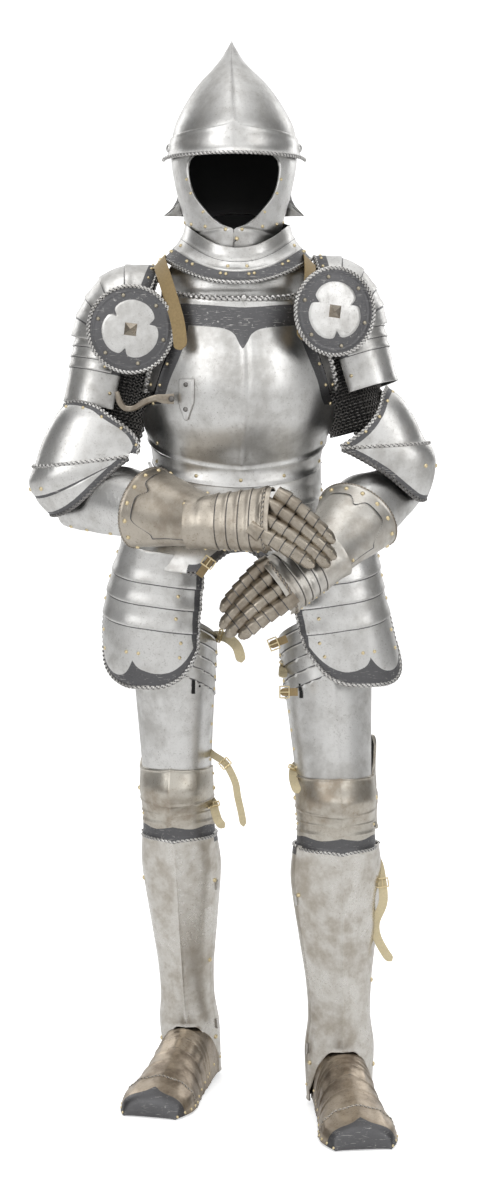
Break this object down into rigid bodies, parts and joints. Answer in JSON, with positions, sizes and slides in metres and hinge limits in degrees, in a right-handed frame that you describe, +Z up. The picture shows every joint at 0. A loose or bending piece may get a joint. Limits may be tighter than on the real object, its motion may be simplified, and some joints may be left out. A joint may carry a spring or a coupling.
{
  "type": "suit of plate armour",
  "caption": "Worn, hollow suit of plate armour with an open-faced pointed helmet, mitten gauntlets clasped before the waist and a folding lance rest.",
  "frame": {"origin": "middle of the waist, where the wearer carries the suit, 1.085 m above the ground", "axes": "+Z up, -Y in front of the wearer, +X towards the wearer's left hand"},
  "size_m": [0.692, 0.4973, 1.8004],
  "materials": {
    "bright_steel": "polished plate with fine scratches and light tarnish",
    "dark_steel": "blackened band, worn to metal on edges",
    "aged_steel": "brown-grey patina over satin steel",
    "mail": "dark oiled iron rings",
    "brass": "dull domed rivet heads",
    "tan_leather": "olive-tan strap leather",
    "cream_leather": "pale buff strap leather",
    "inner_steel": "black, rough inside of the plates"
  },
  "bodies": {
    "suit": {"helmet_skull": "bright_steel", "helmet_brow": "bright_steel", "cheek_right": "bright_steel", "cheek_left": "bright_steel", "gorget_rim": "dark_steel", "collar_lower": "bright_steel", "collar_upper": "bright_steel", "gorget_plate": "bright_steel", "breastplate": "bright_steel", "backplate": "bright_steel", "gusset_right": "dark_steel", "gusset_left": "dark_steel", "waist_plate": "bright_steel", "fauld_upper": "bright_steel", "fauld_lower": "bright_steel", "culet": "bright_steel", "lance_rest_bracket": "dark_steel", "right_tasset_3": "bright_steel", "right_tasset_2": "bright_steel", "right_tasset_1": "bright_steel", "left_tasset_3": "bright_steel", "left_tasset_2": "bright_steel", "left_tasset_1": "bright_steel", "right_pauldron_1": "bright_steel", "left_pauldron_1": "bright_steel", "right_mail_sleeve": "mail", "right_pauldron_2": "bright_steel", "right_pauldron_3": "bright_steel", "right_upper_cannon": "bright_steel", "right_couter": "bright_steel", "right_vambrace": "bright_steel", "right_gauntlet_cuff": "aged_steel", "right_hand_lames": "aged_steel", "right_finger_plates": "aged_steel", "right_besagew": "bright_steel", "left_mail_sleeve": "mail", "left_pauldron_2": "bright_steel", "left_pauldron_3": "bright_steel", "left_upper_cannon": "bright_steel", "left_couter": "bright_steel", "left_vambrace": "bright_steel", "left_gauntlet_cuff": "aged_steel", "left_hand_lames": "aged_steel", "left_finger_plates": "aged_steel", "left_besagew": "bright_steel", "right_cuisse": "bright_steel", "right_poleyn": "bright_steel", "right_knee_lame": "bright_steel", "right_greave_front": "bright_steel", "right_greave_back": "bright_steel", "right_sabaton": "aged_steel", "right_toe_cap": "aged_steel", "left_cuisse": "bright_steel", "left_poleyn": "bright_steel", "left_knee_lame": "bright_steel", "left_greave_front": "bright_steel", "left_greave_back": "bright_steel", "left_sabaton": "aged_steel", "left_toe_cap": "aged_steel"},
    "lance_rest": {"lance_rest_arm": "dark_steel"}
  },
  "joints": [
    {"name": "lance_rest_fold", "type": "hinge", "parent": "suit", "child": "lance_rest", "pos_m": [-0.104, -0.144, 0.12], "axis": [0, 1, 0], "range_deg": [0, 85]}
  ]
}
